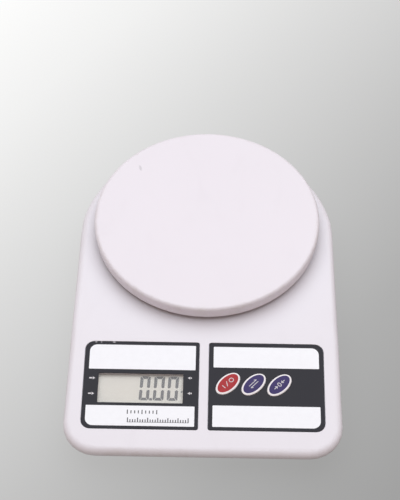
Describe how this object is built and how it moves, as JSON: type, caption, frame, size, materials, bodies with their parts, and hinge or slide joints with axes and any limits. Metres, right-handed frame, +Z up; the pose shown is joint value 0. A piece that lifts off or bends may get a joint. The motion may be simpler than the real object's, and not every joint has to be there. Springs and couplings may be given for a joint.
{
  "type": "digital gram scale",
  "caption": "Digital weighing scale: flat round platter on a load cell, white two-part casing, window display and slanted oval push keys on a sloping front deck.",
  "frame": {"origin": "centre of the object's bounding box in plan, on the surface that its feet stand on", "axes": "+Z up, display and keys towards -Y, +X to the right of a user who faces the display"},
  "size_m": [0.164, 0.2346, 0.038],
  "materials": {
    "upper_casing": "moulded white, satin gloss",
    "lower_casing": "moulded white, fine texture",
    "weighing_platter": "moulded white, satin gloss",
    "inner_plastic": "moulded natural white",
    "rubber": "soft, matt",
    "printed_panel": "printed film, charcoal and white",
    "clear_lens": "clear acrylic",
    "display_glass": "reflective liquid-crystal glass",
    "red_key": "red with a white rim",
    "violet_key": "violet with a white rim",
    "black_plastic": "moulded",
    "tinned_steel": "tinned sheet",
    "circuit_board": "green solder mask",
    "epoxy": "black potting",
    "aluminium": "machined, clear anodised",
    "sealant": "white silicone",
    "zinc_screw": "zinc plated",
    "nickel": "nickel plated",
    "battery_wrap": "plain printed sleeve",
    "red_wire": "extruded insulation",
    "black_wire": "extruded insulation",
    "grey_wire": "extruded sheath"
  },
  "bodies": {
    "casing": {"battery_1": "battery_wrap", "battery_2": "battery_wrap", "battery_lead_black": "black_wire", "battery_lead_red": "red_wire", "battery_spring_1": "nickel", "battery_spring_2": "nickel", "board_screw_1": "zinc_screw", "board_screw_2": "zinc_screw", "board_screw_3": "zinc_screw", "casing_screw_1": "zinc_screw", "casing_screw_2": "zinc_screw", "casing_screw_3": "zinc_screw", "casing_screw_4": "zinc_screw", "casing_screw_5": "zinc_screw", "casing_screw_6": "zinc_screw", "cell_base_plate": "tinned_steel", "cell_screw_fixed_1": "zinc_screw", "cell_screw_fixed_2": "zinc_screw", "chip_encapsulation": "epoxy", "display_overlay": "printed_panel", "display_window": "clear_lens", "elastomer_connector": "rubber", "foot_front_left": "rubber", "foot_front_right": "rubber", "foot_rear_left": "rubber", "foot_rear_right": "rubber", "gauge_seal_bottom": "sealant", "gauge_seal_top": "sealant", "keypad_overlay": "printed_panel", "lcd_frame": "inner_plastic", "lcd_panel": "display_glass", "load_cell": "aluminium", "load_cell_cable": "grey_wire", "lower_casing": "lower_casing", "main_board": "circuit_board", "switch_housing_mode": "tinned_steel", "switch_housing_power": "tinned_steel", "switch_housing_tare": "tinned_steel", "terminal_bridge": "nickel", "terminal_negative": "nickel", "terminal_positive": "nickel", "upper_casing": "upper_casing"},
    "platter": {"weighing_platter": "weighing_platter", "platter_support": "inner_plastic", "cell_top_plate": "tinned_steel", "cell_screw_free_1": "zinc_screw", "cell_screw_free_2": "zinc_screw"},
    "door": {"battery_door": "lower_casing"},
    "key_power": {"key_power": "red_key", "switch_stem_power": "black_plastic"},
    "key_mode": {"key_mode": "violet_key", "switch_stem_mode": "black_plastic"},
    "key_tare": {"key_tare": "violet_key", "switch_stem_tare": "black_plastic"}
  },
  "joints": [
    {"name": "platter_slide", "type": "slide", "parent": "casing", "child": "platter", "axis": [0, 0, 1], "range_m": [-0.00025, 0], "stiffness_N_per_m": 12000, "springref_m": 0.0002, "deforming": ["load_cell"]},
    {"name": "key_power_slide", "type": "slide", "parent": "casing", "child": "key_power", "axis": [0, -0.0499, 0.9988], "range_m": [-0.0004, 0], "stiffness_N_per_m": 400, "springref_m": 0.0005},
    {"name": "key_mode_slide", "type": "slide", "parent": "casing", "child": "key_mode", "axis": [0, -0.0499, 0.9988], "range_m": [-0.0004, 0], "stiffness_N_per_m": 400, "springref_m": 0.0005},
    {"name": "key_tare_slide", "type": "slide", "parent": "casing", "child": "key_tare", "axis": [0, -0.0499, 0.9988], "range_m": [-0.0004, 0], "stiffness_N_per_m": 400, "springref_m": 0.0005},
    {"name": "door_hinge", "type": "hinge", "parent": "casing", "child": "door", "pos_m": [0, -0.0066, 0.0033], "axis": [1, 0, 0], "range_deg": [0, 95]}
  ]
}
